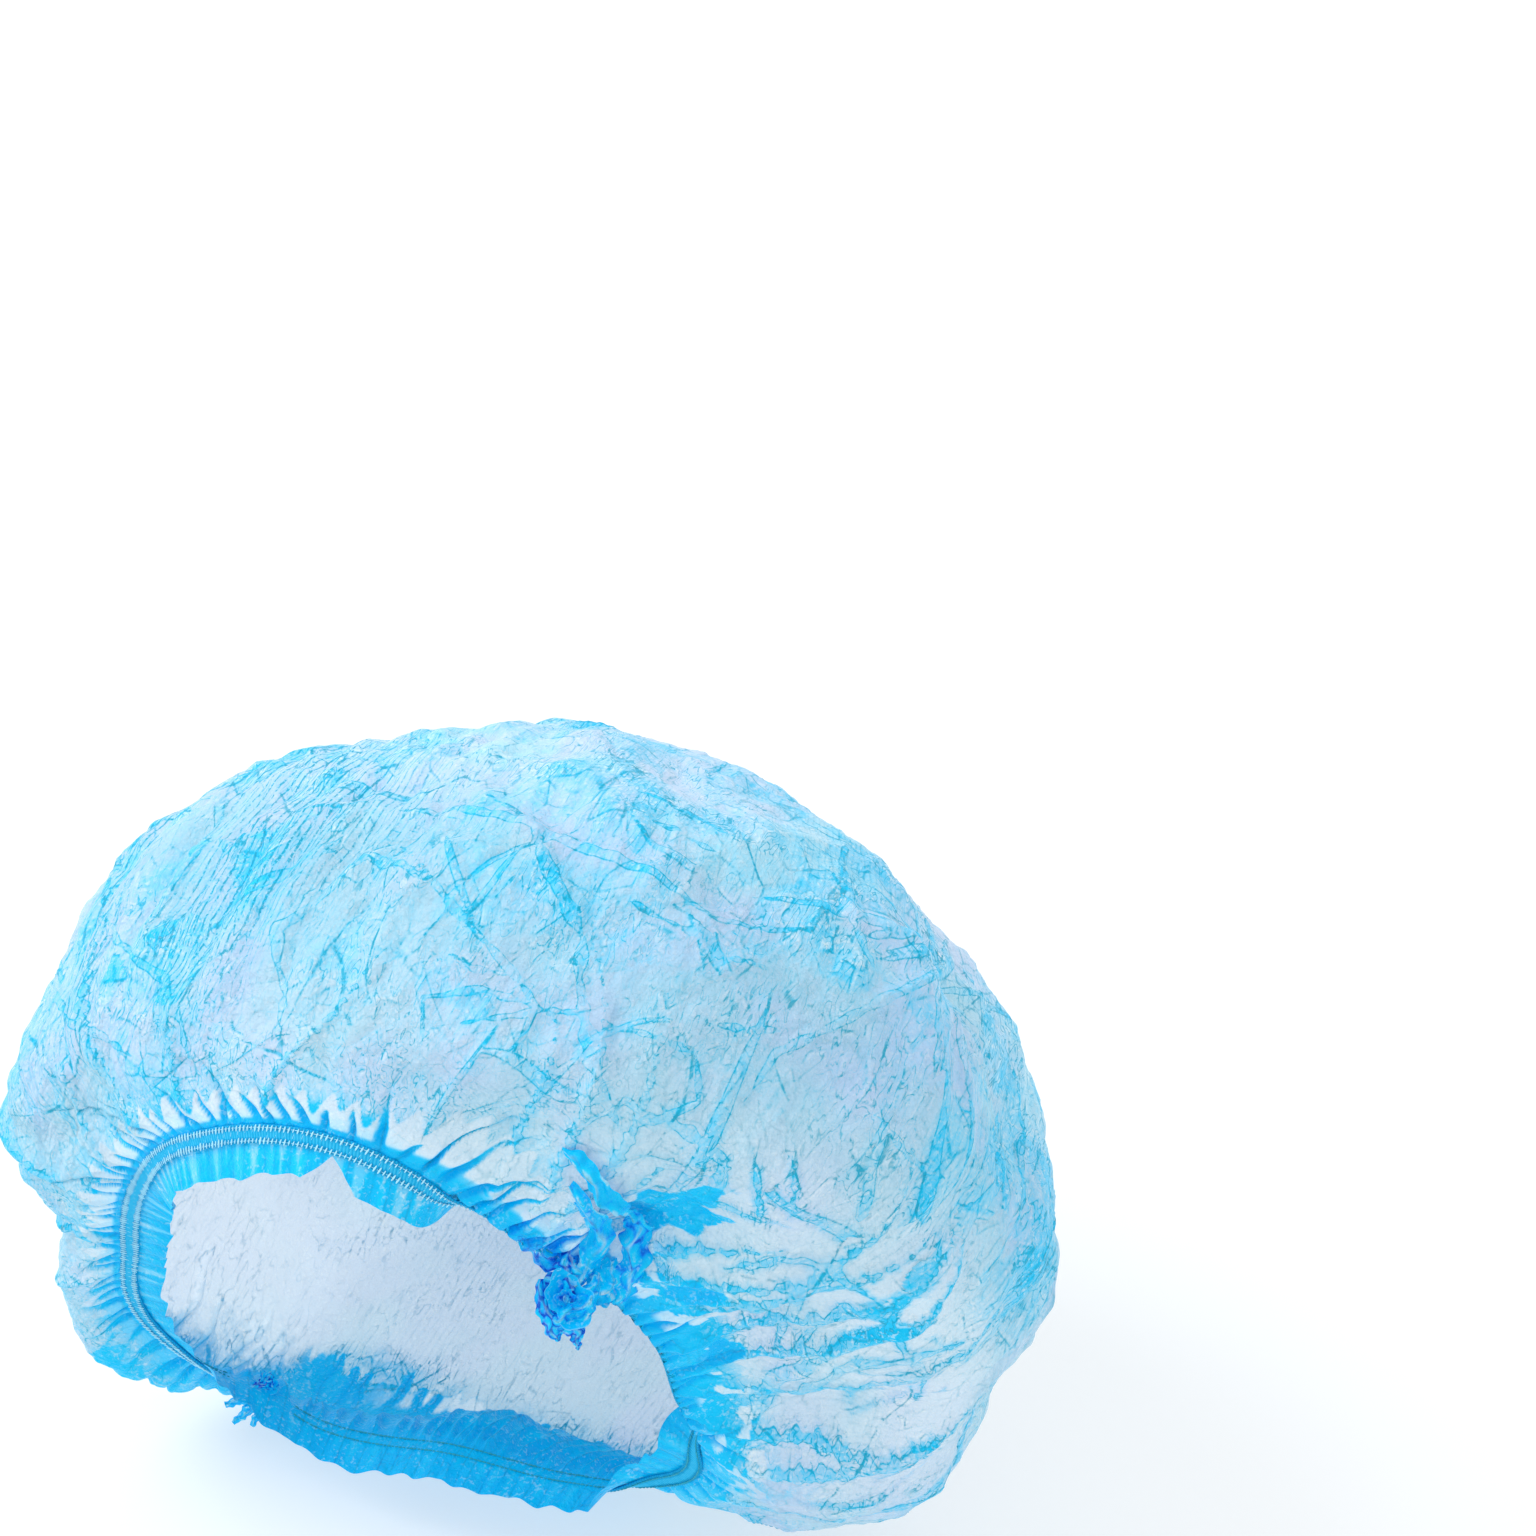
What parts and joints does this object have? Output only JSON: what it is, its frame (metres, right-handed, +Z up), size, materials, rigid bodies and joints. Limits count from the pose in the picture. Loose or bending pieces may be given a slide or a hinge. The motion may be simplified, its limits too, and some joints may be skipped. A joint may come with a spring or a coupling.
{
  "type": "bouffant cap",
  "caption": "Disposable bouffant cap of thin pale blue sheet, puffed open on its side, with a gathered elastic rim, a ruffle and two bunched ends.",
  "frame": {"origin": "middle of the base of the bounding box, on the floor under the cap as it lies on its side", "axes": "+Z up from the floor, -Y forward out of the mouth, +X to the right for someone who looks into the mouth along +Y"},
  "size_m": [0.2722, 0.207, 0.2439],
  "materials": {
    "sheet": "thin translucent nonwoven with a fine crinkle and a soft sheen",
    "elastic": "matt stitched elastic, two rows of thread",
    "bunched_sheet": "many layers of the sheet bunched together, deeper in colour"
  },
  "bodies": {
    "root": {"crown": "sheet", "elastic_upper": "elastic", "elastic_lower": "elastic", "end_tuft_large": "bunched_sheet", "end_tuft_small": "bunched_sheet"}
  },
  "joints": []
}
